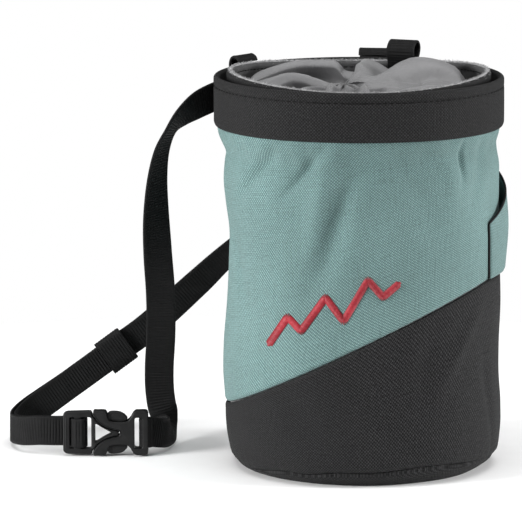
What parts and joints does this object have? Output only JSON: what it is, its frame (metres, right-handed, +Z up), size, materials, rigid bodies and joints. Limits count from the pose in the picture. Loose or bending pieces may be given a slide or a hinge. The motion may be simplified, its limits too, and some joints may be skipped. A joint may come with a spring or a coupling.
{
  "type": "chalk bag",
  "caption": "Round cloth chalk bag with a stiff rim, a nylon mouth that a turning ring twists shut, and a webbing waist belt with a side-release buckle.",
  "frame": {"origin": "centre of the bag's base, on the surface it stands on", "axes": "+Z up along the bag's axis; -Y is the front with the stitched ridge; the belt lies towards -X"},
  "size_m": [0.2502, 0.1711, 0.2072],
  "materials": {
    "teal_canvas": "woven canvas with a pale cross thread",
    "charcoal_canvas": "coarse plain weave",
    "band_cloth": "coated cloth with topstitching",
    "grey_nylon": "satin",
    "fleece": "short pile",
    "black_webbing": "ribbed webbing",
    "red_thread": "satin stitch",
    "board": "plain",
    "black_plastic": "fine moulded grain"
  },
  "bodies": {
    "bag": {"upper_shell": "teal_canvas", "lower_shell": "charcoal_canvas", "base_panel": "charcoal_canvas", "base_stiffener": "board", "fleece_liner": "fleece", "rim_band": "band_cloth", "rim_stiffener": "board", "side_pocket": "teal_canvas", "pocket_binding": "black_webbing", "embroidered_motif": "red_thread", "closure_lower": "grey_nylon", "belt_loop_left": "black_webbing", "belt_loop_right": "black_webbing", "belt_back_run": "black_webbing", "belt_socket_half": "black_webbing", "belt_plug_half": "black_webbing", "belt_tail": "black_webbing", "socket_strap_wrap": "black_webbing", "buckle_socket": "black_plastic"},
    "twist_ring": {"closure_upper": "grey_nylon", "twist_ring_core": "board", "twist_ring_casing": "fleece", "pull_loop": "black_webbing"},
    "plug": {"buckle_plug": "black_plastic", "plug_strap_wrap": "black_webbing"},
    "latch_upper": {"latch_arm_upper": "black_plastic"},
    "latch_lower": {"latch_arm_lower": "black_plastic"},
    "keeper": {"strap_keeper": "black_webbing"}
  },
  "joints": [
    {"name": "ring_twist", "type": "hinge", "parent": "bag", "child": "twist_ring", "pos_m": [0, 0, 0.191], "axis": [0, 0, 1], "range_deg": [0, 180], "deforming": ["closure_lower", "closure_upper"]},
    {"name": "buckle_release", "type": "slide", "parent": "bag", "child": "plug", "axis": [-1, 0, 0], "range_m": [0, 0.02], "deforming": ["belt_plug_half", "belt_tail"]},
    {"name": "latch_press", "type": "hinge", "parent": "plug", "child": "latch_upper", "pos_m": [-0.1326, 0.0155, 0.0197], "axis": [0, 1, 0], "range_deg": [0, 8], "stiffness_Nm_per_rad": 0.05},
    {"name": "latch_press_lower", "type": "hinge", "parent": "plug", "child": "latch_lower", "pos_m": [-0.1326, 0.0155, 0.0043], "axis": [0, -1, 0], "range_deg": [0, 8], "stiffness_Nm_per_rad": 0.05},
    {"name": "keeper_slide", "type": "slide", "parent": "bag", "child": "keeper", "axis": [0.805, 0.1548, 0.5728], "range_m": [-0.012, 0.012], "deforming": ["belt_plug_half", "belt_tail"]}
  ],
  "couplings": [
    {"joint": "latch_press_lower", "follows": "latch_press", "ratio": 1}
  ]
}
